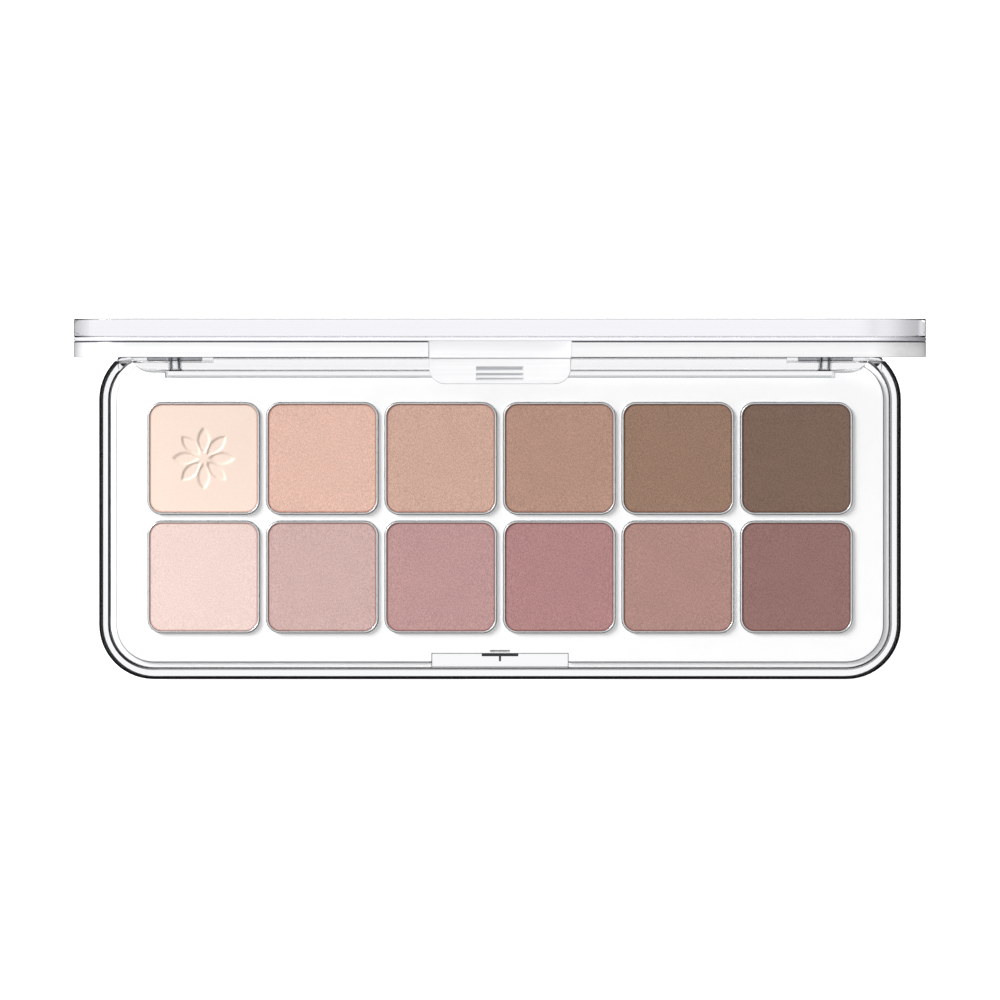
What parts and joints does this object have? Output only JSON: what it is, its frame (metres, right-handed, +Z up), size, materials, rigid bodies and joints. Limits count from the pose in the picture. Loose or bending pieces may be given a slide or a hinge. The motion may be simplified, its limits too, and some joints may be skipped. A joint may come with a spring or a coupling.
{
  "type": "eyeshadow palette",
  "caption": "Slim clear eyeshadow palette: square pans of pressed powder in a white tray, and a mirrored lid on a pin hinge that snaps shut.",
  "frame": {"origin": "centre of the base's underside, which rests on the table", "axes": "+X to the right along the width, +Y from the front edge to the hinge, +Z up"},
  "size_m": [0.144, 0.0644, 0.0645],
  "materials": {
    "clear_case": "clear, polished moulding",
    "white_tray": "glossy white moulding",
    "glue": "dull cured glue",
    "pin_steel": "drawn steel wire",
    "clear_frame": "clear frosted white moulding",
    "pearl_sheet": "pearl lavender sheet",
    "clear_cover": "clear, polished, lavender tint",
    "mirror_silver": "silvered mirror",
    "foam_tape": "thin double-sided foam tape",
    "pan_tin": "bright tin-plated steel",
    "powder_front_1": "pressed powder, matte",
    "powder_front_2": "pressed powder, matte",
    "powder_front_3": "pressed powder, matte",
    "powder_front_4": "pressed powder, matte",
    "powder_front_5": "pressed powder, matte",
    "powder_front_6": "pressed powder, matte",
    "powder_rear_1": "pressed powder, satin",
    "powder_rear_2": "pressed powder, matte",
    "powder_rear_3": "pressed powder, matte",
    "powder_rear_4": "pressed powder, matte",
    "powder_rear_5": "pressed powder, matte",
    "powder_rear_6": "pressed powder, matte"
  },
  "bodies": {
    "base": {"base_shell": "clear_case", "pan_tray": "white_tray", "pan_glue_dots": "glue", "hinge_pin_left": "pin_steel", "hinge_pin_right": "pin_steel", "pan_front_1": "pan_tin", "pan_front_2": "pan_tin", "pan_front_3": "pan_tin", "pan_front_4": "pan_tin", "pan_front_5": "pan_tin", "pan_front_6": "pan_tin", "pan_rear_1": "pan_tin", "pan_rear_2": "pan_tin", "pan_rear_3": "pan_tin", "pan_rear_4": "pan_tin", "pan_rear_5": "pan_tin", "pan_rear_6": "pan_tin", "powder_front_1": "powder_front_1", "powder_front_2": "powder_front_2", "powder_front_3": "powder_front_3", "powder_front_4": "powder_front_4", "powder_front_5": "powder_front_5", "powder_front_6": "powder_front_6", "powder_rear_1": "powder_rear_1", "powder_rear_2": "powder_rear_2", "powder_rear_3": "powder_rear_3", "powder_rear_4": "powder_rear_4", "powder_rear_5": "powder_rear_5", "powder_rear_6": "powder_rear_6"},
    "lid": {"lid_frame": "clear_frame", "lid_sheet": "pearl_sheet", "lid_cover": "clear_cover", "mirror": "mirror_silver", "mirror_tape": "foam_tape"}
  },
  "joints": [
    {"name": "lid_hinge", "type": "hinge", "parent": "base", "child": "lid", "pos_m": [0, 0.0277, 0.0066], "axis": [-1, 0, 0], "range_deg": [-88.2, 15.8]}
  ]
}
